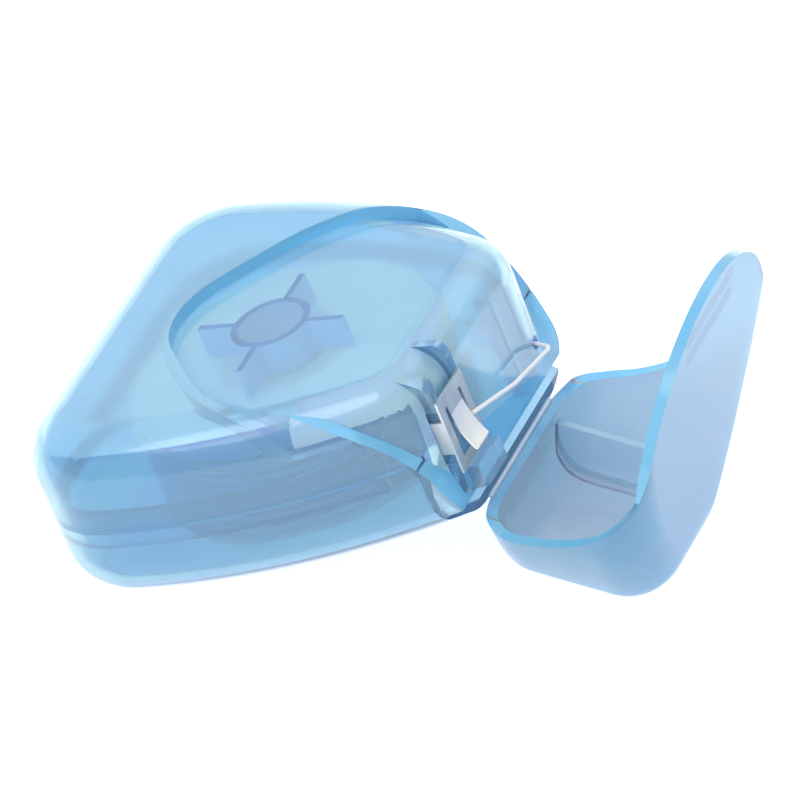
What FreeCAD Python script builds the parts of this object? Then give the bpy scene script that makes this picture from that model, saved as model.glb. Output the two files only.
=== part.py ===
"""Dental floss dispenser: a see-through flip-lid case lying on its back with its lid open.

The pieces are modelled in the case's own frame: X from the wide end to the hinge end, Y across,
Z from the back face to the front face. A stance placement then tips the whole case until its wide
end and its open lid stand on one floor at Z = 0, with the origin in the middle of the footprint.
"""

import FreeCAD, Part
import math
import os
import re
import Sketcher

# alias, value in millimetres (degrees for angles) or sum of other sizes, meaning
SIZES = [
    ("case_length", 62.9, "wide end to the closed lid's end"),
    ("case_width", 55.0, "across the widest place"),
    ("case_depth", 22.3, "back face to front face"),
    ("parting_height", 10.7, "back face to the joint between the shells"),
    ("wide_corner_radius", 11.2, "plan corners of the wide end"),
    ("side_bulge_radius", 79.4, "plan radius of the long sides"),
    ("side_crest_x", 11.3, "where the case is widest"),
    ("lid_end_radius", 8.5, "plan corners of the lid's end"),
    ("front_edge_radius", 6.5, "rounding of the front face"),
    ("back_edge_radius", 6.0, "rounding of the back face"),
    ("shell_wall", 1.2, "wall of both shells"),
    ("lid_wall", 1.3, "wall of the lid"),
    ("lid_gap", 0.3, "room between the closed lid and the shells"),
    ("lid_depth", 11.9, "end wall under the lid to the closed lid's end"),
    ("core_length", "=case_length - lid_depth", "wide end to the end wall under the lid"),
    ("core_end_radius", 7.5, "plan corners of the end wall"),
    ("wide_room", 4.8, "wall of the wide end to the winding"),
    ("end_room", 5.0, "winding to the end wall"),
    ("winding_radius", "=(core_length - 2 * shell_wall - wide_room - end_room) / 2", "outside of a full winding"),
    ("axle_x", "=shell_wall + wide_room + winding_radius", "wide end to the spool's axle"),
    ("recess_reach", 12.0, "axle to the tip of the lid's recess"),
    ("recess_tip_x", "=axle_x - recess_reach", "wide end to the tip of the lid's recess"),
    ("recess_tip_radius", 11.2, "plan radius of the recess's tip"),
    ("tongue_reach", 5.8, "axle to the tip of the closed lid's shorter tongue"),
    ("tongue_tip_x", "=axle_x - tongue_reach", "wide end to the tip of that tongue"),
    ("tongue_tip_radius", 19.7, "plan radius of the lid's tongue"),
    ("seat_radius", 22.2, "side-view radius of the seam between lid and shells"),
    ("seat_reach", 21.9, "centre of that radius to the end wall"),
    ("seat_centre_x", "=core_length - seat_reach", "wide end to that centre"),
    ("lip_height", 2.4, "locating lip of the back shell, above the joint"),
    ("lip_wall", 0.8, "wall of the locating lip"),
    ("lip_gap", 0.06, "room between the lip and the front shell"),
    ("lip_stop", 6.0, "where the lip stops to the end wall"),
    ("lip_end_x", "=core_length - lip_stop", "wide end to where the lip stops"),
    ("skirt_depth", 2.0, "thickness of the end wall's skirt with the room behind it"),
    ("skirt_start_x", "=core_length - skirt_depth", "wide end to where the end wall drops past the joint"),
    ("skirt_gap", 0.15, "room between the end wall's skirt and the back shell's sides"),
    ("skirt_lift", 1.2, "opening between the skirt and the back shell's floor"),
    ("axle_radius", 6.0, "outside of the back shell's axle stub"),
    ("axle_wall", 0.9, "wall of the axle stub"),
    ("axle_clearance", 0.07, "radial running clearance of the bobbin"),
    ("boss_wall", 0.9, "wall of the front shell's boss"),
    ("boss_gap", 0.12, "room between the boss and the stub that it plugs into"),
    ("boss_insertion", 2.0, "length of the boss inside the stub"),
    ("boss_rib_reach", 9.8, "axle's middle to the end of each hold-down rib"),
    ("boss_rib_wall", 0.8, "thickness of the hold-down ribs"),
    ("spool_play", 0.3, "end play of the spool above and below"),
    ("spool_height", 13.2, "height of the bobbin"),
    ("bobbin_wall", 1.9, "wall of the bobbin core"),
    ("winding_inset", 0.25, "bobbin's end to the winding's end"),
    ("floss_width", 0.5, "width of the floss as it lies in the winding"),
    ("turn_gap", 0.5, "gap between neighbouring turns of the outer layer"),
    ("turn_seat", 0.02, "room between the outer turns and the pack"),
    ("rest_ring_radius", 12.0, "middle of the ring that the spool rests over"),
    ("rest_ring_wall", 1.0, "thickness of that ring"),
    ("rest_ring_height", 0.6, "height of that ring above the floor"),
    ("hinge_gap", 0.9, "width of the film hinge between the two thick edges"),
    ("film_wall", 0.3, "thickness of the film hinge"),
    ("film_half_width", 9.6, "half the length of the film hinge"),
    ("lid_opening", 113.4, "how far the lid stands open"),
    ("blade_width", 7.2, "cutter plate across"),
    ("blade_height", 9.8, "cutter plate along the case's depth"),
    ("blade_thickness", 0.3, "sheet of the cutter plate"),
    ("blade_centre_y", -10.2, "middle of the cutter plate, off the middle line"),
    ("blade_centre_height", 11.4, "middle of the cutter plate, above the back face"),
    ("blade_stand_off", 0.8, "end wall to the back of the cutter plate"),
    ("window_width", 4.6, "width of the plate's window"),
    ("window_height", 6.6, "height of the plate's window"),
    ("tongue_width", 3.4, "width of the cutting tongue"),
    ("tongue_lift", 1.7, "how far the tongue's free end stands off the plate"),
    ("leg_length", 3.0, "plate to the shoulders of a barbed leg"),
    ("leg_height", 4.4, "height of a barbed leg"),
    ("barb_height", 7.2, "height of a leg's arrow head"),
    ("barb_length", 1.8, "length of a leg's arrow head"),
    ("leg_slot_gap", 0.1, "room round a leg in its slot"),
    ("lug_wall", 1.2, "thickness of the lug's two ribs"),
    ("lug_corner", 2.2, "side-view radius at the top of the ribs"),
    ("lug_hollow", 1.4, "how far the web between the ribs stays behind the plate"),
    ("ledge_height", 3.0, "block under the plate, along the case's depth"),
    ("ledge_reach", 1.5, "block under the plate, out past the plate's face"),
    ("outlet_y", 11.8, "middle of the floss outlet, off the middle line"),
    ("outlet_height", 6.6, "middle of the floss outlet, above the back face"),
    ("outlet_radius", 0.9, "radius of the floss outlet"),
    ("guide_y", 8.5, "middle of the floss guide, off the middle line"),
    ("guide_width", 4.4, "floss guide across"),
    ("guide_low", 2.8, "lower end of the floss guide"),
    ("guide_high", 16.6, "upper end of the floss guide"),
    ("guide_wall", 0.7, "ribs of the floss guide"),
    ("guide_reach", 1.6, "depth of the floss guide inside the end wall"),
    ("strand_radius", 0.28, "half the width of the free floss"),
    ("strand_gap", 0.4, "room between the free floss and the winding or the plate"),
    ("strand_reach", 2.3, "end wall to where the floss turns towards the cutter"),
    ("strand_turn", 1.2, "radius of that turn"),
    ("strand_slack_y", 1.5, "second bend of the free floss, off the middle line"),
    ("strand_slack_height", 8.0, "second bend of the free floss, above the back face"),
    ("strand_slack_turn", 6.0, "radius of the second bend"),
    ("strand_end_y", -8.25, "cut end of the floss, off the middle line"),
    ("strand_end_height", 11.0, "cut end of the floss, above the back face"),
    ("overrun", 6.0, "how far every cutting tool passes the pieces"),
]

doc = FreeCAD.newDocument("dental_floss_dispenser")
sheet = doc.addObject("Spreadsheet::Sheet", "Sizes")
for row, (alias, number, meaning) in enumerate(SIZES, start=1):
    sheet.set("A%d" % row, alias)
    sheet.set("B%d" % row, str(number))
    sheet.set("C%d" % row, meaning)
    sheet.setAlias("B%d" % row, alias)
doc.recompute()
CELLS = {row[0]: "Sizes." + row[0] for row in SIZES}

# Places and sizes that several pieces share, as sums of the sizes above
STEP = "(lid_wall + lid_gap)"
RECESS_FLOOR = "(case_depth - lid_wall - lid_gap)"
SPOOL_LOW = "(shell_wall + rest_ring_height + spool_play)"
SPOOL_HIGH = SPOOL_LOW[:-1] + " + spool_height)"
STUB_TOP = SPOOL_HIGH
RIB_LOW = SPOOL_HIGH[:-1] + " + spool_play)"
BORE_RADIUS = "(axle_radius + axle_clearance)"
BOSS_RADIUS = "(axle_radius - axle_wall - boss_gap)"
PLATE_X = "(core_length + blade_stand_off)"
PLATE_LOW = "(blade_centre_height - blade_height / 2)"
PLATE_HIGH = "(blade_centre_height + blade_height / 2)"
LIP_INSET = "(shell_wall + lip_gap)"
SEAT_HEIGHT = "(case_depth - seat_radius)"
ROUNDING_LOW = "(case_depth - front_edge_radius)"
# How far in from the side the rounded front edge is as high as the recess floor
EDGE_INSET = "(front_edge_radius - sqrt(front_edge_radius ^ 2 - (front_edge_radius - %s) ^ 2))" % STEP
# Where the seam crosses the level of the recess floor, and how far out the rounded side is there
SHOULDER_X = "(seat_centre_x + sqrt(seat_radius ^ 2 - (seat_radius - %s) ^ 2))" % STEP
SHOULDER_Y = (
    "(case_width / 2 - side_bulge_radius + sqrt(side_bulge_radius ^ 2 - (%s - side_crest_x) ^ 2)"
    " - front_edge_radius + sqrt(front_edge_radius ^ 2 - (front_edge_radius - %s) ^ 2))" % (SHOULDER_X, STEP)
)


def bound(text):
    """The sum as an expression on the sheet."""
    return re.sub("[a-z_]+", lambda word: CELLS.get(word.group(), word.group()), text)


def value(text):
    found = sheet.evalExpression(bound(text))
    return float(getattr(found, "Value", found))


def sized(thing, name, text):
    thing.setExpression(name, bound(text))


def new_sketch(body, name, role="XY_Plane", offset="0"):
    plane = next(part for part in body.Origin.OriginFeatures if part.Role == role)
    sketch = body.newObject("Sketcher::SketchObject", name)
    sketch.AttachmentSupport = [(plane, "")]
    sketch.MapMode = "FlatFace"
    sized(sketch, "AttachmentOffset.Base.z", offset)
    return sketch


def pin_size(sketch, kind, where, text):
    """Dimension of a sketch, tied to the sheet."""
    index = sketch.addConstraint(Sketcher.Constraint(kind, *where, value(text)))
    sketch.setExpression("Constraints[%d]" % index, bound(text))


def arc_between(first, last, radius, sense):
    """Starting arc from first to last; sense is 1 where it turns to the left."""
    half = (last - first) * 0.5
    side = FreeCAD.Vector(-half.y, half.x, 0).normalize() * sense
    centre = first + half + side * math.sqrt(max(radius**2 - half.Length**2, 0))
    circle = Part.Circle(centre, FreeCAD.Vector(0, 0, 1), radius)
    ends = (first, last) if sense > 0 else (last, first)
    angles = [math.atan2(end.y - centre.y, end.x - centre.x) for end in ends]
    return Part.ArcOfCircle(circle, *angles)


def draw_profile(sketch, corners, rounds=None):
    """Closed outline through the corners; rounds gives a side's radius and sense by its first corner."""
    rounds = rounds or {}
    places = [FreeCAD.Vector(value(x), value(y), 0) for x, y in corners]
    for index, place in enumerate(places):
        after = places[(index + 1) % len(places)]
        if index in rounds:
            radius, sense = rounds[index]
            side = sketch.addGeometry(arc_between(place, after, value(radius), sense))
            pin_size(sketch, "Radius", (side,), radius)
        else:
            sketch.addGeometry(Part.LineSegment(place, after))
    for index, (x, y) in enumerate(corners):
        before = (index - 1) % len(corners)
        start = 2 if index in rounds and rounds[index][1] < 0 else 1
        end = 1 if before in rounds and rounds[before][1] < 0 else 2
        sketch.addConstraint(Sketcher.Constraint("Coincident", before, end, index, start))
        pin_size(sketch, "DistanceX", (-1, 1, index, start), x)
        pin_size(sketch, "DistanceY", (-1, 1, index, start), y)


def draw_outline(sketch, inset, length, end_radius):
    """Case outline: straight ends, bulging sides and tangent corners, all set in by the same amount."""
    radii = [end_radius, "side_bulge_radius - " + inset, "wide_corner_radius - " + inset]
    end, side, wide = (value(radius) for radius in radii)
    crest_x, crest_y = value("side_crest_x"), value("case_width / 2 - side_bulge_radius")
    end_x, wide_x = value(length) - end, value(inset) + wide
    end_y = crest_y + math.sqrt((side - end) ** 2 - (end_x - crest_x) ** 2)
    wide_y = crest_y + math.sqrt((side - wide) ** 2 - (wide_x - crest_x) ** 2)
    turn_end = math.atan2(end_y - crest_y, end_x - crest_x)
    turn_wide = math.atan2(wide_y - crest_y, wide_x - crest_x)
    spans = [(0, turn_end), (turn_end, turn_wide), (turn_wide, math.pi)]
    centres = [(end_x, end_y), (crest_x, crest_y), (wide_x, wide_y)]
    axis = FreeCAD.Vector(0, 0, 1)
    for mirror in (1, -1):
        for (x, y), radius, (start, stop) in zip(centres, (end, side, wide), spans):
            circle = Part.Circle(FreeCAD.Vector(x, y * mirror, 0), axis, radius)
            angles = (start, stop) if mirror > 0 else (-stop, -start)
            sketch.addGeometry(Part.ArcOfCircle(circle, *angles))
    far, near = value(length), value(inset)
    point = FreeCAD.Vector
    sketch.addGeometry(Part.LineSegment(point(far, -end_y, 0), point(far, end_y, 0)))
    sketch.addGeometry(Part.LineSegment(point(near, wide_y, 0), point(near, -wide_y, 0)))
    joints = [(6, 2, 0, 1), (0, 2, 1, 1), (1, 2, 2, 1), (2, 2, 7, 1)]
    joints += [(7, 2, 5, 1), (5, 2, 4, 1), (4, 2, 3, 1), (3, 2, 6, 1)]
    for joint in joints:
        sketch.addConstraint(Sketcher.Constraint("Tangent", *joint))
    for index in range(6):
        pin_size(sketch, "Radius", (index,), radii[index % 3])
    for index, text in ((6, length), (7, inset)):
        sketch.addConstraint(Sketcher.Constraint("Vertical", index))
        pin_size(sketch, "DistanceX", (-1, 1, index, 1), text)
    for index, sense in ((1, ""), (4, "-")):
        pin_size(sketch, "DistanceX", (-1, 1, index, 3), "side_crest_x")
        pin_size(sketch, "DistanceY", (-1, 1, index, 3), sense + "(case_width / 2 - side_bulge_radius)")


def pad(body, sketch, length, symmetric=False):
    feature = body.newObject("PartDesign::Pad", sketch.Name + "_pad")
    feature.Profile = sketch
    feature.SideType = "Symmetric" if symmetric else "One side"
    sized(feature, "Length", length)
    sketch.Visibility = False
    doc.recompute()
    return feature


def round_level(body, feature, level, radius):
    """Fillet of every edge of the feature that lies at one height."""
    height = value(level)
    edges = [
        "Edge%d" % index
        for index, edge in enumerate(feature.Shape.Edges, start=1)
        if max(abs(edge.BoundBox.ZMin - height), abs(edge.BoundBox.ZMax - height)) < value("film_wall") / 10
    ]
    fillet = body.newObject("PartDesign::Fillet", body.Name + "_round")
    fillet.Base = (feature, edges)
    sized(fillet, "Radius", radius)
    doc.recompute()
    return fillet


def form(name, inset, length, end_radius, low, high, front_round=None, back_round=None):
    """Solid with the case's outline, between two heights."""
    body = doc.addObject("PartDesign::Body", name)
    sketch = new_sketch(body, name + "_outline", offset=low)
    draw_outline(sketch, inset, length, end_radius)
    feature = pad(body, sketch, "%s - (%s)" % (high, low))
    if front_round:
        feature = round_level(body, feature, high, front_round)
    if back_round:
        round_level(body, feature, low, back_round)
    return body


def profile_body(name, role, corners, length, offset="0", rounds=None, symmetric=False):
    body = doc.addObject("PartDesign::Body", name)
    sketch = new_sketch(body, name + "_profile", role, offset)
    draw_profile(sketch, corners, rounds)
    pad(body, sketch, length, symmetric)
    return body


def block(name, low, high):
    """Box between two corners."""
    (x0, y0, z0), (x1, y1, z1) = low, high
    corners = [(x0, y0), (x1, y0), (x1, y1), (x0, y1)]
    return profile_body(name, "XY_Plane", corners, "%s - (%s)" % (z1, z0), offset=z0)


def ring(name, inner, outer, low, high):
    """Tube about the spool's axle; a plain disc where inner is not given."""
    body = doc.addObject("PartDesign::Body", name)
    sketch = new_sketch(body, name + "_section", offset=low)
    centre = FreeCAD.Vector(value("axle_x"), 0, 0)
    for index, radius in enumerate(text for text in (outer, inner) if text):
        sketch.addGeometry(Part.Circle(centre, FreeCAD.Vector(0, 0, 1), value(radius)))
        pin_size(sketch, "Radius", (index,), radius)
        pin_size(sketch, "DistanceX", (-1, 1, index, 3), "axle_x")
        pin_size(sketch, "DistanceY", (-1, 1, index, 3), "0")
    pad(body, sketch, "%s - (%s)" % (high, low))
    return body


def combine(kind, name, things):
    result = doc.addObject("Part::" + kind, name)
    if kind == "Cut":
        result.Base, result.Tool = things
    else:
        result.Shapes = things
    doc.recompute()
    return result


def cut(name, base, tool):
    return combine("Cut", name, [base, tool])


def fuse(name, *things):
    return combine("MultiFuse", name, list(things))


def common(name, *things):
    return combine("MultiCommon", name, list(things))


def recess_plan(name, grow):
    """Tear-drop of the lid's recess: a round tip, straight flanks and wide rounds out to the sides."""
    ahead = "(%s - recess_tip_x - recess_tip_radius)" % SHOULDER_X
    more = "(4 / 5 * %s)" % ahead
    aside = "(%s - recess_tip_radius - %s)" % (SHOULDER_Y, more)
    lean = "(atan2(%s; %s) + acos(-%s / sqrt(%s ^ 2 + %s ^ 2)))" % (aside, ahead, more, ahead, aside)
    tip, flank = "(recess_tip_radius + %s)" % grow, "(recess_tip_radius + %s + %s)" % (more, grow)
    foot = ("recess_tip_x + recess_tip_radius + %s * cos(%s)" % (tip, lean), "%s * sin(%s)" % (tip, lean))
    knee = ("%s + %s * cos(%s)" % (SHOULDER_X, flank, lean), "%s + %s * sin(%s)" % (aside, flank, lean))
    shoulder = (SHOULDER_X, "%s + %s" % (SHOULDER_Y, grow))
    across, far = "(case_width / 2 + overrun)", "case_length + overrun"
    half = [shoulder, knee, foot]
    corners = half + [(x, "-(%s)" % y) for x, y in reversed(half)]
    corners += [(SHOULDER_X, "-" + across), (far, "-" + across), (far, across), (SHOULDER_X, across)]
    return profile_body(
        name, "XY_Plane", corners, "case_depth + 2 * overrun", offset="-overrun",
        rounds={0: (flank, 1), 2: (tip, 1), 4: (flank, 1)},
    )


def tongue_plan(name, shoulder_x):
    """Plan of the lid: a round tongue that spreads out to the sides at its shoulders."""
    shoulder_y = "sqrt(tongue_tip_radius ^ 2 - (tongue_tip_x + tongue_tip_radius - %s) ^ 2)" % shoulder_x
    wide_x, wide_y = "%s + case_width" % shoulder_x, "%s + case_width" % shoulder_y
    corners = [
        (shoulder_x, shoulder_y),
        (shoulder_x, "-" + shoulder_y),
        (wide_x, "-(%s)" % wide_y),
        (wide_x, wide_y),
    ]
    return profile_body(
        name, "XY_Plane", corners, "case_depth + 2 * overrun", offset="-overrun",
        rounds={0: ("tongue_tip_radius", 1)},
    )


def lid_zone(name, plan, seam_radius, floor, end_x):
    """Space that the lid takes: its plan, above a rounded seam that ends at the end wall."""
    seam_x = "seat_centre_x + sqrt(%s ^ 2 - (%s - %s) ^ 2)" % (seam_radius, floor, SEAT_HEIGHT)
    seam_low = "%s + sqrt(%s ^ 2 - (%s - seat_centre_x) ^ 2)" % (SEAT_HEIGHT, seam_radius, end_x)
    corners = [
        ("-overrun", floor),
        (seam_x, floor),
        (end_x, seam_low),
        (end_x, "-overrun"),
        ("case_length + overrun", "-overrun"),
        ("case_length + overrun", "case_depth + overrun"),
        ("-overrun", "case_depth + overrun"),
    ]
    side = profile_body(
        name + "_side", "XZ_Plane", corners, "case_width + 2 * overrun",
        rounds={1: (seam_radius, -1)}, symmetric=True,
    )
    return common(name, plan, side)


def make_case_walls():
    """Both shells as one hollow wall, with the stepped recess that the lid closes over."""
    outer = form(
        "outer_form", "0", "case_length", "lid_end_radius", "0", "case_depth",
        "front_edge_radius", "back_edge_radius",
    )
    core = form(
        "core_form", STEP, "core_length", "core_end_radius", "0", RECESS_FLOOR,
        "front_edge_radius - " + STEP,
    )
    plan = recess_plan("recess_plan", "0")
    inset = "(%s + lid_gap)" % EDGE_INSET
    sunk = form(
        "recess_sunk", inset, "case_length - " + inset, "lid_end_radius - " + inset,
        ROUNDING_LOW, "case_depth + overrun",
    )
    recess = fuse(
        "recess", lid_zone("recess_zone", plan, "seat_radius", RECESS_FLOOR, "core_length"),
        common("recess_flanks", plan, sunk),
    )
    skin = fuse("case_skin", cut("outer_step", outer, recess), common("core_step", core, outer))
    outer_room = form(
        "outer_room", "shell_wall", "case_length - shell_wall", "lid_end_radius - shell_wall",
        "shell_wall", "case_depth - shell_wall",
        "front_edge_radius - shell_wall", "back_edge_radius - shell_wall",
    )
    core_room = form(
        "core_room", "(%s + shell_wall)" % STEP, "core_length - shell_wall",
        "core_end_radius - shell_wall", "shell_wall", RECESS_FLOOR + " - shell_wall",
        "front_edge_radius - %s - shell_wall" % STEP,
    )
    room_zone = lid_zone(
        "room_zone", recess_plan("room_plan", "shell_wall"), "(seat_radius - shell_wall)",
        ROUNDING_LOW, "(core_length - shell_wall)",
    )
    room = fuse("case_room", cut("room_step", outer_room, room_zone), core_room)
    return outer, room, cut("case_walls", skin, room)


def make_axle_ribs():
    """Four ribs under the recess that hold the spool down."""
    ribs = []
    half = "boss_rib_wall / 2"
    for name, x, y in (("long", "boss_rib_reach", half), ("cross", half, "boss_rib_reach")):
        low = ("axle_x - " + x, "-" + y, RIB_LOW)
        high = ("axle_x + " + x, y, RECESS_FLOOR + " - shell_wall / 2")
        ribs.append(block("boss_ribs_" + name, low, high))
    return ribs


def make_lug():
    """Two ribs, the web between them and the block below, which carry the cutter plate."""
    rib_low = "(%s - ledge_height)" % PLATE_LOW
    corners = [
        ("core_length - core_end_radius", rib_low),
        (PLATE_X, rib_low),
        (PLATE_X, RECESS_FLOOR + " - lug_corner"),
        (PLATE_X + " - lug_corner", RECESS_FLOOR),
        ("core_length - core_end_radius", RECESS_FLOOR),
    ]
    near, far = "blade_centre_y - blade_width / 2", "blade_centre_y + blade_width / 2"
    pieces = []
    for name, high in (("far", far), ("near", near + " + lug_wall")):
        pieces.append(
            profile_body(
                "lug_rib_" + name, "XZ_Plane", corners, "lug_wall",
                offset="-(%s)" % high, rounds={2: ("lug_corner", 1)},
            )
        )
    web_low = ("core_length - core_end_radius", near, rib_low)
    web_high = (PLATE_X + " - lug_hollow", far, PLATE_HIGH)
    pieces.append(block("lug_web", web_low, web_high))
    ledge_low = (PLATE_X + " - lug_wall", near + " + lug_wall", rib_low)
    ledge_high = (PLATE_X + " + blade_thickness + ledge_reach", far, PLATE_LOW)
    pieces.append(block("lug_ledge", ledge_low, ledge_high))
    return pieces


def make_leg_slots():
    slots = []
    for name, sense in (("far", "+"), ("near", "-")):
        edge = "(blade_centre_y %s (blade_width / 2 - blade_thickness / 2))" % sense
        low = (
            PLATE_X + " - leg_length - barb_length - leg_slot_gap",
            edge + " - blade_thickness / 2 - leg_slot_gap",
            "blade_centre_height - barb_height / 2 - leg_slot_gap",
        )
        high = (
            PLATE_X + " + overrun",
            edge + " + blade_thickness / 2 + leg_slot_gap",
            "blade_centre_height + barb_height / 2 + leg_slot_gap",
        )
        slots.append(block("leg_slot_" + name, low, high))
    return slots


def make_floss_guide():
    """Rectangular guide behind the end wall, as a frame that is open towards the spool."""
    back = "core_length - shell_wall - guide_reach"
    outer = block(
        "guide_frame", (back, "guide_y - guide_width / 2", "guide_low"),
        ("core_length - shell_wall / 2", "guide_y + guide_width / 2", "guide_high"),
    )
    inner = block(
        "guide_window", (back + " - overrun", "guide_y - guide_width / 2 + guide_wall", "guide_low + guide_wall"),
        ("core_length - shell_wall / 2", "guide_y + guide_width / 2 - guide_wall", "guide_high - guide_wall"),
    )
    return cut("floss_guide", outer, inner)


def make_shells():
    outer, room, walls = make_case_walls()
    across = "case_width / 2 + overrun"
    above = block(
        "above_joint", ("-overrun", "-(%s)" % across, "parting_height"),
        ("case_length + overrun", across, "case_depth + overrun"),
    )
    skirt = block(
        "skirt_space", ("skirt_start_x", "-(%s)" % across, "shell_wall + skirt_lift"),
        ("case_length", across, "parting_height + overrun"),
    )
    skirt_room = block(
        "skirt_room", ("skirt_start_x - skirt_gap", "-(%s)" % across, "shell_wall"),
        ("case_length", across, "parting_height + overrun"),
    )
    front_walls = common("front_walls", walls, fuse("front_space", above, skirt))
    back_walls = cut("back_walls", walls, fuse("front_room", above, skirt_room))

    boss = ring("axle_boss", None, BOSS_RADIUS, STUB_TOP + " - boss_insertion", RECESS_FLOOR + " - shell_wall / 2")
    bore = ring(
        "axle_boss_bore", None, BOSS_RADIUS + " - boss_wall", STUB_TOP + " - boss_insertion - overrun",
        RECESS_FLOOR + " - shell_wall",
    )
    clear = "(%s + lid_gap)" % STEP
    lid_clear = form(
        "lid_clear", clear, "case_length - " + clear, "lid_end_radius - " + clear, clear,
        "case_depth - " + clear, "front_edge_radius - " + clear, "back_edge_radius - " + clear,
    )
    lug_inside_lid = common("lug_inside_lid", fuse("lug", *make_lug()), lid_clear)
    lug_outside = cut("lug_outside", lug_inside_lid, room)
    outlet = doc.addObject("Part::Cylinder", "outlet")
    sized(outlet, "Radius", "outlet_radius")
    sized(outlet, "Height", "2 * overrun")
    outlet.Placement.Rotation = FreeCAD.Rotation(FreeCAD.Vector(0, 1, 0), 90)
    sized(outlet, "Placement.Base.x", "core_length - overrun")
    sized(outlet, "Placement.Base.y", "outlet_y")
    sized(outlet, "Placement.Base.z", "outlet_height")
    solid = fuse("front_solid", front_walls, boss, *make_axle_ribs(), lug_outside, make_floss_guide())
    openings = fuse("front_openings", bore, outlet, *make_leg_slots())
    front = cut("front_shell", solid, openings)

    lip_low = form(
        "lip_root", "(shell_wall / 2)", "case_length - shell_wall / 2", "lid_end_radius - shell_wall / 2",
        "parting_height - lip_height", "parting_height",
    )
    lip_high = form(
        "lip_rim", LIP_INSET, "case_length - " + LIP_INSET, "lid_end_radius - " + LIP_INSET,
        "parting_height - lip_height / 2", "parting_height + lip_height",
    )
    lip_room = form(
        "lip_room", "(%s + lip_wall)" % LIP_INSET, "case_length - %s - lip_wall" % LIP_INSET,
        "lid_end_radius - %s - lip_wall" % LIP_INSET,
        "parting_height - lip_height - overrun / 2", "parting_height + lip_height + overrun",
    )
    lip_space = block(
        "lip_space", ("-overrun", "-(%s)" % across, "0"), ("lip_end_x", across, "case_depth"),
    )
    lip = common("locating_lip", cut("lip_wall_ring", fuse("lip_solid", lip_low, lip_high), lip_room), lip_space)
    stub = ring("axle_stub", "axle_radius - axle_wall", "axle_radius", "shell_wall / 2", STUB_TOP)
    rest = ring(
        "rest_ring", "rest_ring_radius - rest_ring_wall / 2", "rest_ring_radius + rest_ring_wall / 2",
        "shell_wall / 2", "shell_wall + rest_ring_height",
    )
    rear = fuse("rear_shell", back_walls, lip, stub, rest)
    return outer, rear, front


def make_lid(outer):
    """Scoop-shaped lid with its long tongue, modelled closed."""
    seam_radius = "(seat_radius + lid_gap)"
    shoulder_x = "(seat_centre_x + sqrt(%s ^ 2 - (seat_radius - lid_wall) ^ 2))" % seam_radius
    plan = tongue_plan("tongue_plan", shoulder_x)
    zone = lid_zone("lid_zone", plan, seam_radius, "(case_depth - lid_wall)", "(core_length + lid_gap)")
    blank = common("lid_blank", outer, zone)
    room = form(
        "lid_room", "lid_wall", "case_length - lid_wall", "lid_end_radius - lid_wall",
        "lid_wall", "case_depth - lid_wall", "front_edge_radius - lid_wall", "back_edge_radius - lid_wall",
    )
    notch = form(
        "hinge_notch", "(%s - hinge_gap)" % STEP, "core_length + hinge_gap", "core_end_radius + hinge_gap",
        "-overrun", "back_edge_radius",
    )
    return cut("flip_lid", cut("lid_shell", blank, room), notch)


def make_hinge_film():
    """Thin film between the floor's edge and the lid's edge, bent as far as the lid stands open."""
    radius = "(hinge_gap / 2 / tan(lid_opening / 2))"
    centre_z = "(film_wall / 2 - %s)" % radius
    inner, outer = "(%s - film_wall / 2)" % radius, "(%s + film_wall / 2)" % radius
    corners = [
        ("core_length", "%s + %s" % (centre_z, outer)),
        ("core_length", "%s + %s" % (centre_z, inner)),
        ("core_length + %s * sin(lid_opening)" % inner, "%s + %s * cos(lid_opening)" % (centre_z, inner)),
        ("core_length + %s * sin(lid_opening)" % outer, "%s + %s * cos(lid_opening)" % (centre_z, outer)),
    ]
    return profile_body(
        "hinge_film", "XZ_Plane", corners, "2 * film_half_width",
        rounds={1: (inner, -1), 3: (outer, 1)}, symmetric=True,
    )


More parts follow.
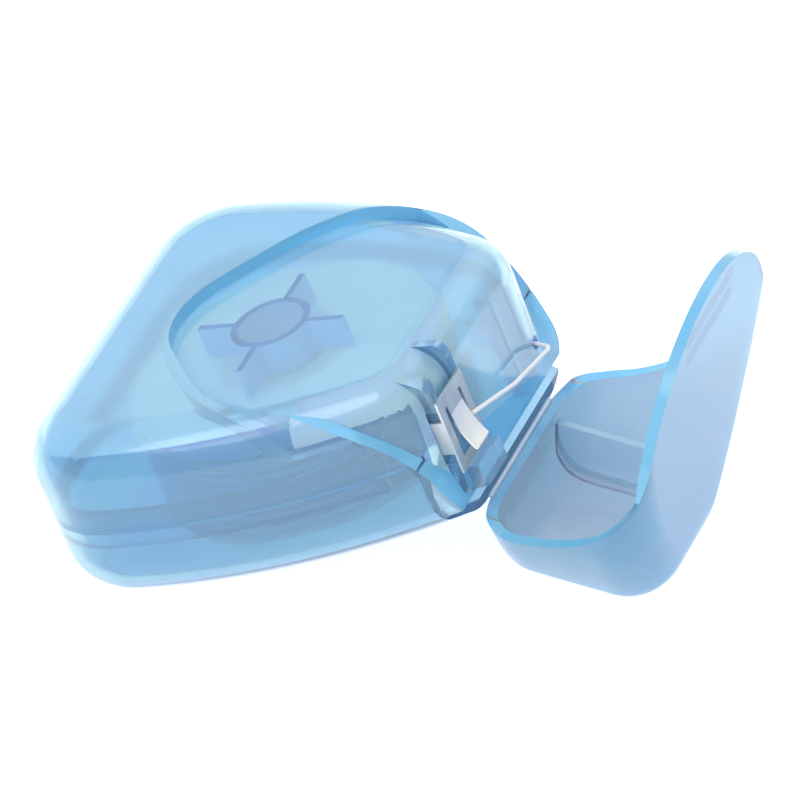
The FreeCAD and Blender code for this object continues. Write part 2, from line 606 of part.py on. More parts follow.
def make_cutter_plate():
    """Spring-steel plate with a window, a bent cutting tongue and two barbed legs."""
    low = (PLATE_X, "blade_centre_y - blade_width / 2", PLATE_LOW)
    high = (PLATE_X + " + blade_thickness", "blade_centre_y + blade_width / 2", PLATE_HIGH)
    plate = block("plate_blank", low, high)
    window_low = (
        PLATE_X + " - overrun", "blade_centre_y - window_width / 2", "blade_centre_height - window_height / 2"
    )
    window_high = (
        PLATE_X + " + overrun", "blade_centre_y + window_width / 2", "blade_centre_height + window_height / 2"
    )
    frame = cut("plate_frame", plate, block("plate_window", window_low, window_high))
    root = "(blade_centre_height + window_height / 2)"
    tip = "(blade_centre_height - window_height / 2 + blade_thickness)"
    corners = [
        (PLATE_X + " + blade_thickness", root + " + blade_thickness"),
        (PLATE_X, root + " + blade_thickness"),
        (PLATE_X, root),
        (PLATE_X + " + tongue_lift", tip),
        (PLATE_X + " + tongue_lift + blade_thickness", tip),
    ]
    # The tongue leaves the plate smoothly and curls outwards
    curl = "(((window_height - blade_thickness) ^ 2 + tongue_lift ^ 2) / (2 * tongue_lift))"
    tongue = profile_body(
        "cutting_tongue", "XZ_Plane", corners, "tongue_width", offset="-blade_centre_y - tongue_width / 2",
        rounds={2: (curl, 1), 4: ("(%s - blade_thickness)" % curl, -1)},
    )
    legs = []
    neck = PLATE_X + " - leg_length"
    middle = "blade_centre_height"
    corners = [
        (PLATE_X, middle + " - leg_height / 2"),
        (PLATE_X, middle + " + leg_height / 2"),
        (neck, middle + " + leg_height / 2"),
        (neck, middle + " + barb_height / 2"),
        (neck + " - barb_length", middle),
        (neck, middle + " - barb_height / 2"),
        (neck, middle + " - leg_height / 2"),
    ]
    for name, y in (
        ("far", "blade_centre_y + blade_width / 2 - blade_thickness"),
        ("near", "blade_centre_y - blade_width / 2"),
    ):
        legs.append(
            profile_body(
                "leg_" + name, "XZ_Plane", corners, "blade_thickness", offset="-(%s) - blade_thickness" % y
            )
        )
    return fuse("cutter_plate", frame, tongue, *legs)


def arc_from(start, way, end):
    """Arc that leaves start along way and passes to end."""
    chord = end - start
    ahead = way * chord.dot(way)
    lean = math.atan2((chord - ahead).Length, ahead.Length)
    bulge = (ahead - chord * (ahead.dot(chord) / chord.dot(chord))).normalize()
    middle = start + chord * 0.5 + bulge * (chord.Length / 2 * math.tan(lean / 2))
    return Part.Arc(start, middle, end).toShape()


def arc_pair(start, way, end, end_way):
    """Two arcs that meet smoothly between two points with given directions."""
    chord, ways = end - start, way + end_way
    across = chord.dot(ways)
    square = ways.dot(ways) - 4
    reach = (across - math.sqrt(across**2 - square * chord.dot(chord))) / square
    joint = (start + way * reach + end - end_way * reach) * 0.5
    second = arc_from(end, end_way * -1, joint)
    return [arc_from(start, way, joint), second]


def tube(name, edges, start, way, radius):
    """Round cord along the edges."""
    section = Part.Wire(Part.makeCircle(radius, start, way))
    cord = doc.addObject("Part::Feature", name)
    cord.Shape = Part.Wire(Part.__sortEdges__(edges)).makePipeShell([section], True, False)
    return cord


def make_winding():
    """Outer layer of the floss, one unbroken helix with a short straight end at each side."""
    width, pitch = value("floss_width"), value("floss_width + turn_gap")
    radius, room = value("winding_radius - floss_width / 2"), value("spool_height - 2 * winding_inset - floss_width")
    quarters = int(4 * room / pitch)
    low = value(SPOOL_LOW + " + winding_inset + floss_width / 2") + (room - quarters * pitch / 4) / 2
    axle = FreeCAD.Vector(value("axle_x"), 0, 0)
    rise = pitch / (2 * math.pi * radius)

    def at(quarter):
        turn = quarter * math.pi / 2
        place = axle + FreeCAD.Vector(radius * math.cos(turn), radius * math.sin(turn), low + quarter * pitch / 4)
        return place, FreeCAD.Vector(-math.sin(turn), math.cos(turn), rise).normalize()

    first, way = at(0)
    start = first - way * width
    edges = [Part.makeLine(start, first)]
    for quarter in range(quarters):
        edges += arc_pair(*at(quarter), *at(quarter + 1))
    last, last_way = at(quarters)
    edges.append(Part.makeLine(last, last + last_way * width))
    print("winding: %.2f turns, least gap to itself %.3f mm" % (quarters / 4, least_gap(edges, width)))
    return tube("floss_outer_turns", edges, start, way, width / 2)


def least_gap(edges, width, samples=7):
    """Least gap of a coiled cord to itself, measured between points at least half a turn apart."""
    rows = [[edge.valueAt(u) for u in spread(*edge.ParameterRange, samples)] for edge in edges]
    gaps = []
    for index, row in enumerate(rows):
        for other in rows[index + 4:]:
            gaps += [(a - b).Length for a in row for b in other]
    return min(gaps) - width


def spread(first, last, samples):
    return [first + (last - first) * index / (samples - 1) for index in range(samples)]


def make_strand():
    """Free floss from the winding through the outlet to the cutter, straight runs joined by arcs."""
    point = FreeCAD.Vector
    radius = value("winding_radius + strand_gap + strand_radius")
    height = value("outlet_height")
    axle = point(value("axle_x"), 0, height)
    outlet = point(value("core_length - shell_wall / 2"), value("outlet_y"), height)
    reach = outlet - axle
    turn = math.atan2(reach.y, reach.x) + math.acos(radius / reach.Length)
    start = axle + point(math.cos(turn), math.sin(turn), 0) * radius
    out = (outlet - start).normalize()
    corner = outlet + out * (value("strand_reach + shell_wall / 2") / out.x)
    end_x = value(PLATE_X + " + blade_thickness + strand_gap")
    slack = point((corner.x + end_x) / 2, value("strand_slack_y"), value("strand_slack_height"))
    end = point(end_x, value("strand_end_y"), value("strand_end_height"))
    places = [start, corner, slack, end]
    edges, length, here = [], 0, start
    for index, name in ((1, "strand_turn"), (2, "strand_slack_turn")):
        before = (places[index] - places[index - 1]).normalize()
        after = (places[index + 1] - places[index]).normalize()
        setback = value(name) * math.tan(before.getAngle(after) / 2)
        first, last = places[index] - before * setback, places[index] + after * setback
        edges += [Part.makeLine(here, first), arc_from(first, before, last)]
        here = last
    edges.append(Part.makeLine(here, end))
    length = sum(edge.Length for edge in edges)
    print("free floss: %.2f mm" % length)
    return tube("floss_strand", edges, start, out, value("strand_radius"))


def find_stance():
    """Placement that sets the wide end's edge and the open lid's lowest edge on one floor."""
    upright = FreeCAD.Vector(0, 1, 0)
    hinge = FreeCAD.Vector(value("core_length + hinge_gap / 2"), 0, value("film_wall / 2"))
    opening = FreeCAD.Placement(FreeCAD.Vector(), FreeCAD.Rotation(upright, value("lid_opening")), hinge)
    back, front = value("back_edge_radius"), value("front_edge_radius")
    length, depth = value("case_length"), value("case_depth")
    heel = FreeCAD.Vector(back, 0, back)
    slopes = []
    for x, z, radius in ((length - back, back, back), (length - front, depth - front, front)):
        run = opening.multVec(FreeCAD.Vector(x, 0, z)) - heel
        slopes.append(math.atan2(run.z, run.x) - math.asin((radius - back) / run.Length))
    stance = FreeCAD.Placement(FreeCAD.Vector(), FreeCAD.Rotation(upright, math.degrees(min(slopes))))
    return hinge, opening, stance


outer, rear_shell, front_shell = make_shells()
flip_lid = make_lid(outer)
hinge_film = make_hinge_film()
cutter_plate = make_cutter_plate()
bobbin_core = ring("bobbin_core", BORE_RADIUS, BORE_RADIUS + " + bobbin_wall", SPOOL_LOW, SPOOL_HIGH)
floss_pack = ring(
    "floss_pack", BORE_RADIUS + " + bobbin_wall", "winding_radius - floss_width - turn_seat",
    SPOOL_LOW + " + winding_inset", SPOOL_HIGH + " - winding_inset",
)
floss_outer_turns = make_winding()
floss_strand = make_strand()
doc.recompute()

hinge, opening, stance = find_stance()
pieces = [
    rear_shell, front_shell, flip_lid, hinge_film, cutter_plate,
    bobbin_core, floss_pack, floss_outer_turns, floss_strand,
]
for piece in pieces:
    piece.Placement = stance.multiply(opening) if piece is flip_lid else stance
doc.recompute()
whole = FreeCAD.BoundBox()
for piece in pieces:
    whole.add(piece.Shape.optimalBoundingBox(False))
shift = FreeCAD.Vector(-whole.Center.x, -whole.Center.y, -whole.ZMin)
for piece in pieces:
    piece.Placement.Base += shift
    piece.Label = piece.Name
stance.Base += shift
doc.recompute()

for thing in doc.Objects:
    if {"Invalid", "Error"} & set(thing.State):
        raise RuntimeError("%s did not rebuild: %s" % (thing.Name, thing.State))
os.makedirs("parts", exist_ok=True)
for piece in pieces:
    if piece.Shape.isNull() or not piece.Shape.isValid() or len(piece.Shape.Solids) != 1:
        raise RuntimeError("%s is not one sound solid" % piece.Name)
    piece.Shape.exportStep("parts/%s.step" % piece.Name)
    print("%-20s %9.2f cubic mm" % (piece.Name, piece.Shape.Volume))

turned = stance.Rotation
axle_low = FreeCAD.Vector(value("axle_x"), 0, value(SPOOL_LOW))
front_spot = FreeCAD.Vector(value("(front_edge_radius + recess_tip_x) / 2"), 0, value("case_depth"))
end_spot = FreeCAD.Vector(0, 0, value("(parting_height + case_depth - front_edge_radius) / 2"))
for name, place, way in (
    ("lid hinge", hinge, FreeCAD.Vector(0, 1, 0)),
    ("spool axle", axle_low, FreeCAD.Vector(0, 0, 1)),
    ("front face", front_spot, FreeCAD.Vector(0, 0, 1)),
    ("wide end", end_spot, FreeCAD.Vector(-1, 0, 0)),
):
    spot, way = stance.multVec(place), turned.multVec(way)
    print("%s: at %s mm, along %s" % (name, [round(v, 4) for v in spot], [round(v, 6) for v in way]))
print("stance: turned %.4f degrees about Y, moved %s mm" % (math.degrees(turned.Angle) * turned.Axis.y, list(stance.Base)))
print("size: %.2f x %.2f x %.2f mm" % (whole.XLength, whole.YLength, whole.ZLength))
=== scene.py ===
import math

import bmesh
import bpy
from mathutils import Matrix, Vector


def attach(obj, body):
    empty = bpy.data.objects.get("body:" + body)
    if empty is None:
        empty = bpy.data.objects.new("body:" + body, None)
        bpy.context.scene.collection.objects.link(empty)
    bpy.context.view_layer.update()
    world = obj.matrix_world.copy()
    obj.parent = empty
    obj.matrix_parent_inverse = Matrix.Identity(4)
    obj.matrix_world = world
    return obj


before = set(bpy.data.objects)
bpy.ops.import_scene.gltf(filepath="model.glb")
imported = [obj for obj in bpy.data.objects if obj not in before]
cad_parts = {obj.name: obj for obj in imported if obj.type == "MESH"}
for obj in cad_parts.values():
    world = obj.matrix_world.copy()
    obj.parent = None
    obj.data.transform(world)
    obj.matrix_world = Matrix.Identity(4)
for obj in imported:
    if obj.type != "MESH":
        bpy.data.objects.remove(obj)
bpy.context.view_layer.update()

# The case's own frame (X from the wide end, Y across, Z off the back face) as it stands on the floor
MM = 0.001
TILT = math.radians(-16.4951)
STANCE = Matrix.Translation(Vector((-35.17732426, 0, -1.45666646)) * MM) @ Matrix.Rotation(TILT, 4, "Y")
TO_CASE = STANCE.inverted()
SPOOL_AXLE = (-0.011419, 0.0, 0.0077688)  # in the standing frame, in metres

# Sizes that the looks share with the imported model, in the case's frame, in millimetres and degrees
CASE_DEPTH = 22.3
PARTING_HEIGHT = 10.7
END_WALL_X = 51.0
RECESS_STEP = 1.6
LID_GAP = 0.3
SEAM_CENTRE_X, SEAM_RADIUS = 29.1, 22.2
SHOULDER_X = SEAM_CENTRE_X + math.sqrt(SEAM_RADIUS**2 - (SEAM_RADIUS - RECESS_STEP) ** 2)
RECESS_TIP_X, RECESS_TIP_RADIUS = 24.6, 11.2
TONGUE_TIP_X, TONGUE_TIP_RADIUS = 39.3, 19.7
AXLE_X, AXLE_RIB_REACH, AXLE_RIB_LOW, AXLE_RIB_HIGH = 25.4, 10.2, 12.5, 19.45
BLADE_X, BLADE_Y, BLADE_FACE, BLADE_TONGUE_HALF = END_WALL_X + 0.8, -10.2, 0.36, 1.75
HINGE, LID_OPENING = Vector((51.45, 0, 0.15)), 113.4
TO_CLOSED = (
    Matrix.Translation(HINGE) @ Matrix.Rotation(math.radians(-LID_OPENING), 4, "Y") @ Matrix.Translation(-HINGE)
)
INSIDE_CLOSED_LID = Vector((46, 0, 12))
SIDE_AIM_X = 27

# Web across the inside of the lid and the grip ridges under its tongue's tip, with the lid closed
WEB_LOW, WEB_HIGH, WEB_CORNER = (53.8, 8.1, 1.2), (61.7, 9.0, 21.1), 4.6
RIDGE_STARTS, RIDGE_LENGTH, RIDGE_HALF_WIDTH = (22.2, 25.0), 1.5, 7.2
RIDGE_LOW, RIDGE_HIGH, RIDGE_ROUND = 20.72, 21.2, 0.3

# Clear plastic: what one wall lets through to the floss, and how it deepens with thickness
PLASTIC_IOR = 1.45
WALL_TINT = (0.80, 0.91, 0.97, 1)
DEEP_TINT, ABSORPTION = (0.1, 0.75, 0.98, 1), 25.0
LOW_GLOSS = {"coat": 0, "gloss": 0.15}


def material(name):
    """Material without nodes, and its node tree."""
    made = bpy.data.materials.new(name)
    made.use_nodes = True
    made.node_tree.nodes.clear()
    return made, made.node_tree


def add(tree, kind, **inputs):
    """Node of one kind, with its inputs set by name."""
    node = tree.nodes.new(kind)
    for name, setting in inputs.items():
        node.inputs[name.replace("_", " ")].default_value = setting
    return node


def object_noise(tree, scale, detail=3.0, stretch=(1, 1, 1)):
    """Noise in the piece's own metres."""
    place = tree.nodes.new("ShaderNodeTexCoord")
    mapping = tree.nodes.new("ShaderNodeMapping")
    mapping.inputs["Scale"].default_value = stretch
    noise = add(tree, "ShaderNodeTexNoise", Scale=scale, Detail=detail)
    tree.links.new(place.outputs["Object"], mapping.inputs["Vector"])
    tree.links.new(mapping.outputs["Vector"], noise.inputs["Vector"])
    return noise


def ramp(tree, source, stops):
    """Colours along a source, given as places and colours."""
    node = tree.nodes.new("ShaderNodeValToRGB")
    elements = node.color_ramp.elements
    while len(elements) < len(stops):
        elements.new(0.5)
    for element, (at, color) in zip(elements, stops):
        element.position, element.color = at, (*color, 1)
    tree.links.new(source, node.inputs["Fac"])
    return node.outputs["Color"]


def map_range(tree, source, low_value, high_value):
    node = add(tree, "ShaderNodeMapRange")
    node.inputs["To Min"].default_value = low_value
    node.inputs["To Max"].default_value = high_value
    tree.links.new(source, node.inputs["Value"])
    return node.outputs["Result"]


def bump(tree, source, strength, distance, shader):
    node = add(tree, "ShaderNodeBump", Strength=strength, Distance=distance)
    tree.links.new(source, node.inputs["Height"])
    tree.links.new(node.outputs["Normal"], shader.inputs["Normal"])


def finish_surface(tree, shader, volume=None):
    output = tree.nodes.new("ShaderNodeOutputMaterial")
    tree.links.new(shader.outputs[0], output.inputs["Surface"])
    if volume:
        tree.links.new(volume.outputs[0], output.inputs["Volume"])


def clear_plastic(name, tints, see_through, rough, coat=0.2, gloss=0.5):
    """Moulded plastic, clear but hazy: faint flow marks and a deeper colour through more of it."""
    made, tree = material(name)
    shader = add(tree, "ShaderNodeBsdfPrincipled", IOR=PLASTIC_IOR)
    shader.inputs["Transmission Weight"].default_value = see_through
    shader.inputs["Coat Weight"].default_value = coat
    shader.inputs["Specular IOR Level"].default_value = gloss
    shader.inputs["Coat Roughness"].default_value = 0.06
    flow = object_noise(tree, 60, 2.0, (1, 2.5, 1))
    flow_tint = ramp(tree, flow.outputs["Fac"], [(0.35, tints[0]), (0.65, tints[1])])
    tree.links.new(flow_tint, shader.inputs["Base Color"])
    tree.links.new(map_range(tree, flow.outputs["Fac"], rough[0], rough[1]), shader.inputs["Roughness"])
    waves = object_noise(tree, 110, 1.0)
    bump(tree, waves.outputs["Fac"], 0.04, 0.0003, shader)
    # Light from the lamps passes the thin walls and reaches the floss inside
    path = tree.nodes.new("ShaderNodeLightPath")
    through = add(tree, "ShaderNodeBsdfTransparent", Color=WALL_TINT)
    mix = tree.nodes.new("ShaderNodeMixShader")
    tree.links.new(path.outputs["Is Shadow Ray"], mix.inputs["Fac"])
    tree.links.new(shader.outputs[0], mix.inputs[1])
    tree.links.new(through.outputs[0], mix.inputs[2])
    volume = add(tree, "ShaderNodeVolumeAbsorption", Color=DEEP_TINT, Density=ABSORPTION)
    finish_surface(tree, mix, volume)
    return made


def steel(name, shades, rough, metallic):
    """Rolled spring steel with a fine grain along the strip."""
    made, tree = material(name)
    shader = add(tree, "ShaderNodeBsdfPrincipled", Metallic=metallic)
    grain = object_noise(tree, 900, 4.0, (1, 1, 0.06))
    shade = ramp(tree, grain.outputs["Fac"], [(0.3, shades[0]), (0.7, shades[1])])
    tree.links.new(shade, shader.inputs["Base Color"])
    tree.links.new(map_range(tree, grain.outputs["Fac"], rough[0], rough[1]), shader.inputs["Roughness"])
    bump(tree, grain.outputs["Fac"], 0.08, 0.0001, shader)
    finish_surface(tree, shader)
    return made


def waxed_floss(name, spread):
    """Waxed filament, with patches between the two colours of the spread."""
    made, tree = material(name)
    shader = add(tree, "ShaderNodeBsdfPrincipled", Roughness=0.62)
    shader.inputs["Sheen Weight"].default_value = 0.25
    shader.inputs["Subsurface Weight"].default_value = 0.15
    shader.inputs["Subsurface Radius"].default_value = (0.0012, 0.0014, 0.0014)
    patches = object_noise(tree, 90, 3.0)
    tree.links.new(ramp(tree, patches.outputs["Fac"], spread), shader.inputs["Base Color"])
    return made, tree, shader


def wound(name, spread):
    """Floss with fine lines round the spool's axle."""
    made, tree, shader = waxed_floss(name, spread)
    place = tree.nodes.new("ShaderNodeTexCoord")
    mapping = tree.nodes.new("ShaderNodeMapping")
    mapping.vector_type = "TEXTURE"
    mapping.inputs["Location"].default_value = SPOOL_AXLE
    mapping.inputs["Rotation"].default_value = (0.0, TILT, 0.0)
    rings = add(tree, "ShaderNodeTexWave", Scale=700.0, Distortion=2.2, Detail=2.0)
    rings.inputs["Detail Scale"].default_value = 0.4
    rings.wave_type, rings.rings_direction = "RINGS", "Z"
    tree.links.new(place.outputs["Object"], mapping.inputs["Vector"])
    tree.links.new(mapping.outputs["Vector"], rings.inputs["Vector"])
    bump(tree, rings.outputs["Fac"], 0.55, 0.00012, shader)
    finish_surface(tree, shader)
    return made


def milky(name, tint):
    """Half see-through white plastic with a faint mottle."""
    made, tree = material(name)
    shader = add(tree, "ShaderNodeBsdfPrincipled", Roughness=0.35)
    shader.inputs["Transmission Weight"].default_value = 0.35
    mottle = object_noise(tree, 120)
    lighter = tuple(min(1, c * 1.05) for c in tint)
    tree.links.new(ramp(tree, mottle.outputs["Fac"], [(0.3, tint), (0.7, lighter)]), shader.inputs["Base Color"])
    bump(tree, mottle.outputs["Fac"], 0.05, 0.0002, shader)
    finish_surface(tree, shader)
    return made


def dress(node, made):
    """Gives a CAD node its finish."""
    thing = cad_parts[node]
    thing.data.materials.clear()
    thing.data.materials.append(made)
    for face in thing.data.polygons:
        face.material_index = 0


def tint_faces(node, *finishes):
    """Gives the faces that pass a test another finish; the first test that holds counts."""
    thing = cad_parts[node]
    for made, _ in finishes:
        thing.data.materials.append(made)
    turn = TO_CASE.to_3x3()
    for face in thing.data.polygons:
        place = (TO_CASE @ face.center) / MM
        way = turn @ face.normal
        if node == "flip_lid":
            place, way = TO_CLOSED @ place, TO_CLOSED.to_3x3() @ way
        for slot, (_, test) in enumerate(finishes, start=1):
            if test(place, way):
                face.material_index = slot
                break


def on_seam(place, way, radius):
    """On the rounded seam seen from the side, facing its centre or away from it."""
    out = Vector((place.x - SEAM_CENTRE_X, 0, place.z - (CASE_DEPTH - SEAM_RADIUS)))
    at_radius = abs(out.length - radius) < 0.25 and abs(way.dot(out.normalized())) > 0.95
    return place.x > SHOULDER_X - 0.5 and at_radius


def lid_edge(place, way):
    """Cut faces of the lid: its seam, the tip of its tongue and the edge at the hinge."""
    tongue = Vector((place.x - TONGUE_TIP_X, place.y, 0))
    at_radius = abs(tongue.length - TONGUE_TIP_RADIUS) < 0.2 and abs(way.dot(tongue.normalized())) > 0.9
    at_tip = place.x < 38 and at_radius
    at_hinge = place.x < END_WALL_X + 1.2 and abs(way.x) > 0.95
    return on_seam(place, way, SEAM_RADIUS + LID_GAP) or at_tip or at_hinge


def shell_edge(place, way):
    """Walls of the recess, the seam below it and the joint between the shells."""
    wall = abs(way.z) < 0.25 and 16 < place.z < CASE_DEPTH and 12 < place.x < SHOULDER_X + 8
    tip = abs(Vector((place.x - RECESS_TIP_X, place.y)).length - RECESS_TIP_RADIUS) < 0.3
    flank = abs(place.y) > 8 and place.z > 17.5 and abs(place.y) < 21.2 and way.y * place.y < 0
    joint = abs(place.z - PARTING_HEIGHT) < 0.05 and abs(way.z) > 0.95
    return (wall and (tip or flank)) or joint or on_seam(place, way, SEAM_RADIUS)


def at_axle(place, way):
    """Boss and ribs that hold the spool down."""
    from_axle = Vector((place.x - AXLE_X, place.y)).length
    return from_axle < AXLE_RIB_REACH and AXLE_RIB_LOW < place.z < AXLE_RIB_HIGH


def on_painted_light_deck(place, way):
    """End wall under the lid, and the rounded edges between it and the recess, given the lighter copy of the
    shell plastic as painted light.
    """
    out = place.x > 49.5 and way.x > 0.3 or place.z > 17 and 0.3 < way.z < 0.97
    return out and place.x > SHOULDER_X and place.x < END_WALL_X + 0.1


def on_painted_shade_side(place, way):
    """Outer sides of the shells, given the darker copy of the shell plastic as painted shade."""
    out = Vector((place.x - SIDE_AIM_X, place.y, 0)).normalized()
    return abs(way.z) < 0.7 and way.dot(out) > 0.3 and place.x < END_WALL_X + 1


def inside_lid(place, way):
    return (place - INSIDE_CLOSED_LID).dot(way) < 0


def on_painted_highlight_tongue(place, way):
    """The cutter's tongue, where it stands off the plate, given a brighter copy of the plate's steel as a
    painted highlight.
    """
    return place.x > BLADE_X + BLADE_FACE and abs(place.y - BLADE_Y) < BLADE_TONGUE_HALF


def lid_rib(name, low, high, rounded, radius, made):
    """Block moulded into the lid, given by two corners with the lid closed, with rounded edges across it.

    The last finish goes on the face towards the case's wide end, the first on all others.
    """
    mesh = bpy.data.meshes.new(name)
    shape = bmesh.new()
    bmesh.ops.create_cube(shape, size=1.0)
    low, high = Vector(low), Vector(high)
    bmesh.ops.scale(shape, vec=high - low, verts=shape.verts)
    bmesh.ops.translate(shape, vec=(low + high) / 2, verts=shape.verts)
    across = [
        line for line in shape.edges
        if abs(line.verts[0].co.y - line.verts[1].co.y) > (high.y - low.y) / 2
        and rounded((line.verts[0].co + line.verts[1].co) / 2 - (low + high) / 2)
    ]
    bmesh.ops.bevel(
        shape, geom=across, offset=radius, offset_type="OFFSET",
        segments=8, profile=0.5, affect="EDGES", material=-1,
    )
    for face in shape.faces:
        face.material_index = len(made) - 1 if face.normal.x < -0.5 else 0
    bmesh.ops.transform(shape, matrix=TO_CLOSED.inverted(), verts=shape.verts)
    bmesh.ops.scale(shape, vec=(MM, MM, MM), verts=shape.verts)
    bmesh.ops.transform(shape, matrix=STANCE, verts=shape.verts)
    shape.to_mesh(mesh)
    shape.free()
    for finish in made:
        mesh.materials.append(finish)
    thing = bpy.data.objects.new(name, mesh)
    bpy.context.scene.collection.objects.link(thing)
    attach(thing, "lid")


def seen_directly(tree):
    """1 where the eye looks, by itself, in gloss or through the plastic; 0 for all other light."""
    path = tree.nodes.new("ShaderNodeLightPath")
    first = tree.nodes.new("ShaderNodeMath")
    second = tree.nodes.new("ShaderNodeMath")
    first.operation = second.operation = "MAXIMUM"
    tree.links.new(path.outputs["Is Camera Ray"], first.inputs[0])
    tree.links.new(path.outputs["Is Glossy Ray"], first.inputs[1])
    tree.links.new(first.outputs[0], second.inputs[0])
    tree.links.new(path.outputs["Is Transmission Ray"], second.inputs[1])
    return second.outputs[0]


def make_world():
    """White to the eye, with a slightly weaker light."""
    world = bpy.data.worlds.new("studio")
    world.use_nodes = True
    tree = world.node_tree
    tree.nodes.clear()
    seen = add(tree, "ShaderNodeBackground", Color=(1, 1, 1, 1), Strength=1.0)
    light = add(tree, "ShaderNodeBackground", Color=(0.97, 0.98, 1, 1), Strength=0.9)
    mix = tree.nodes.new("ShaderNodeMixShader")
    output = tree.nodes.new("ShaderNodeOutputWorld")
    tree.links.new(seen_directly(tree), mix.inputs["Fac"])
    tree.links.new(light.outputs[0], mix.inputs[1])
    tree.links.new(seen.outputs[0], mix.inputs[2])
    tree.links.new(mix.outputs[0], output.inputs["Surface"])
    bpy.context.scene.world = world


def make_floor():
    """White floor that still takes the object's soft shadow."""
    bpy.ops.mesh.primitive_plane_add(size=3.0, location=(0, 0, -0.0002))
    floor = bpy.context.object
    floor.name = "floor"
    made, tree = material("floor")
    plain = add(tree, "ShaderNodeBsdfDiffuse", Color=(0.93, 0.93, 0.93, 1))
    seen = add(tree, "ShaderNodeEmission", Color=(1, 1, 1, 1), Strength=0.78)
    both = tree.nodes.new("ShaderNodeAddShader")
    mix = tree.nodes.new("ShaderNodeMixShader")
    tree.links.new(plain.outputs[0], both.inputs[0])
    tree.links.new(seen.outputs[0], both.inputs[1])
    tree.links.new(seen_directly(tree), mix.inputs["Fac"])
    tree.links.new(plain.outputs[0], mix.inputs[1])
    tree.links.new(both.outputs[0], mix.inputs[2])
    finish_surface(tree, mix)
    floor.data.materials.append(made)


def make_lamp(name, place, size, watts):
    """Round lamp that points just above the middle of the footprint."""
    lamp = bpy.data.lights.new(name, "AREA")
    lamp.shape, lamp.size, lamp.energy = "DISK", size, watts
    thing = bpy.data.objects.new(name, lamp)
    thing.location = place
    thing.rotation_euler = (Vector((0, 0, 0.02)) - Vector(place)).to_track_quat("-Z", "Y").to_euler()
    bpy.context.scene.collection.objects.link(thing)


def make_camera():
    """Camera of the photograph, set in the case's own frame and turned with its stance."""
    azimuth, elevation, roll = 0.6081, 0.5084, -0.3991
    away, focal_pixels, photo_pixels, sensor = 1115.0, 9785.71, 800, 36.0
    target = Vector((51.739, -19.6042, 21.2312))
    back = Vector(
        (math.sin(azimuth) * math.cos(elevation), -math.cos(azimuth) * math.cos(elevation), math.sin(elevation))
    )
    right = Vector((math.cos(azimuth), math.sin(azimuth), 0))
    up = back.cross(right)
    side = right * math.cos(roll) + up * math.sin(roll)
    top = up * math.cos(roll) - right * math.sin(roll)
    pose = Matrix((side, top, back)).transposed().to_4x4()
    pose.translation = (target + back * away) * MM
    camera = bpy.data.cameras.new("camera")
    camera.sensor_width = sensor
    camera.lens = focal_pixels / photo_pixels * sensor
    camera.clip_start, camera.clip_end = 0.05, 20.0
    thing = bpy.data.objects.new("camera", camera)
    thing.matrix_world = STANCE @ pose
    bpy.context.scene.collection.objects.link(thing)
    bpy.context.scene.camera = thing


# Finishes
shell = clear_plastic("clear_blue_shell", [(0.52, 0.79, 0.93), (0.56, 0.82, 0.95)], 0.76, (0.10, 0.15))
# Darker copy of the shell plastic for the outer sides of the shells: painted shade
painted_shade_side_wall = clear_plastic("clear_blue_painted_shade_side", [(0.36, 0.64, 0.74), (0.40, 0.67, 0.76)], 0.80, (0.10, 0.15))
lid_outside = clear_plastic(
    "clear_blue_lid", [(0.12, 0.46, 0.70), (0.14, 0.48, 0.72)], 0.70, (0.14, 0.18), **LOW_GLOSS
)
lid_inside = clear_plastic(
    "clear_blue_lid_inside", [(0.86, 0.76, 0.72), (0.89, 0.79, 0.74)], 0.66, (0.14, 0.18), **LOW_GLOSS
)
edge = clear_plastic("clear_blue_edge", [(0.24, 0.70, 0.98), (0.28, 0.73, 1.0)], 0.36, (0.10, 0.16))
# Lighter copy of the shell plastic for the end wall under the lid and its rounded edges: painted light
painted_light_deck = clear_plastic("clear_blue_painted_light_deck", [(0.66, 0.96, 1.0), (0.70, 0.98, 1.0)], 0.64, (0.06, 0.10))
hub = clear_plastic("clear_blue_hub", [(0.04, 0.52, 0.95), (0.07, 0.56, 0.98)], 0.15, (0.15, 0.22))
web = clear_plastic("clear_blue_web", [(0.90, 0.96, 1.0), (0.93, 0.98, 1.0)], 0.88, (0.10, 0.16), **LOW_GLOSS)
web_rim = clear_plastic("clear_blue_web_rim", [(0.50, 0.84, 1.0), (0.54, 0.86, 1.0)], 0.30, (0.2, 0.3))
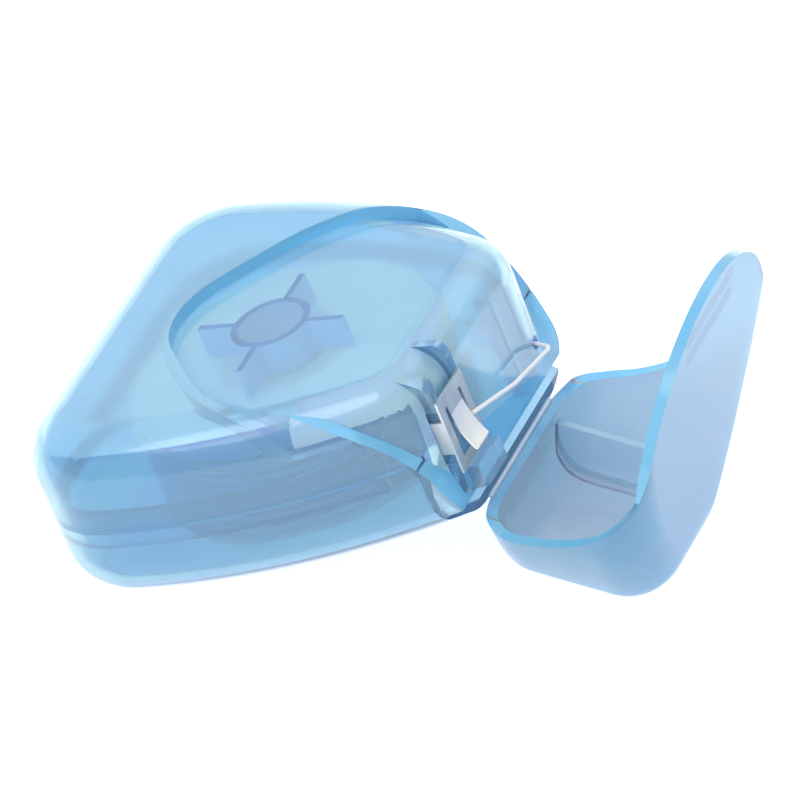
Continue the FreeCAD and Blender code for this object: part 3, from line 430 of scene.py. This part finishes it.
film = clear_plastic("hinge_film", [(0.62, 0.78, 0.88), (0.74, 0.86, 0.92)], 0.45, (0.2, 0.35))
pack_floss = wound("floss", [(0.3, (0.84, 0.90, 0.86)), (0.7, (0.92, 0.95, 0.92))])
strand_floss, strand_tree, strand_shader = waxed_floss(
    "floss_strand", [(0.3, (0.93, 0.94, 0.93)), (0.7, (0.97, 0.97, 0.97))]
)
finish_surface(strand_tree, strand_shader)
plate_steel = steel("cutter_steel", [(0.60, 0.60, 0.60), (0.70, 0.70, 0.69)], (0.30, 0.42), 0.85)
# Brighter, less metallic copy of the plate's steel for the cutter's tongue: painted highlight
painted_highlight_tongue_steel = steel("cutter_painted_highlight_tongue_steel", [(0.95, 0.95, 0.92), (1.0, 1.0, 0.97)], (0.25, 0.35), 0.5)
bobbin = milky("bobbin_plastic", (0.80, 0.90, 0.95))

for node, made in (
    ("rear_shell", shell), ("front_shell", shell), ("hinge_film", film), ("flip_lid", lid_outside),
    ("cutter_plate", plate_steel), ("bobbin_core", bobbin),
    ("floss_pack", pack_floss), ("floss_outer_turns", pack_floss), ("floss_strand", strand_floss),
):
    dress(node, made)
tint_faces("flip_lid", (edge, lid_edge), (lid_inside, inside_lid))
tint_faces("front_shell", (edge, shell_edge), (hub, at_axle), (painted_light_deck, on_painted_light_deck), (painted_shade_side_wall, on_painted_shade_side))
tint_faces("rear_shell", (edge, shell_edge), (painted_shade_side_wall, on_painted_shade_side))
tint_faces("cutter_plate", (painted_highlight_tongue_steel, on_painted_highlight_tongue))

lid_rib("lid_inner_web", WEB_LOW, WEB_HIGH, lambda at: at.x > 0, WEB_CORNER, (web, web_rim))
for number, x in enumerate(RIDGE_STARTS, start=1):
    lid_rib(
        "lid_ridge_%d" % number, (x, -RIDGE_HALF_WIDTH, RIDGE_LOW),
        (x + RIDGE_LENGTH, RIDGE_HALF_WIDTH, RIDGE_HIGH), lambda at: at.z < 0, RIDGE_ROUND, (edge,),
    )

make_world()
make_floor()
make_lamp("key", (-0.35, -0.45, 0.75), 0.6, 2.6)
make_lamp("fill", (0.6, -0.35, 0.45), 0.6, 0.4)
make_lamp("rim", (0.1, 0.6, 0.5), 0.5, 0.3)
make_camera()
bpy.context.scene.view_settings.view_transform = "Standard"
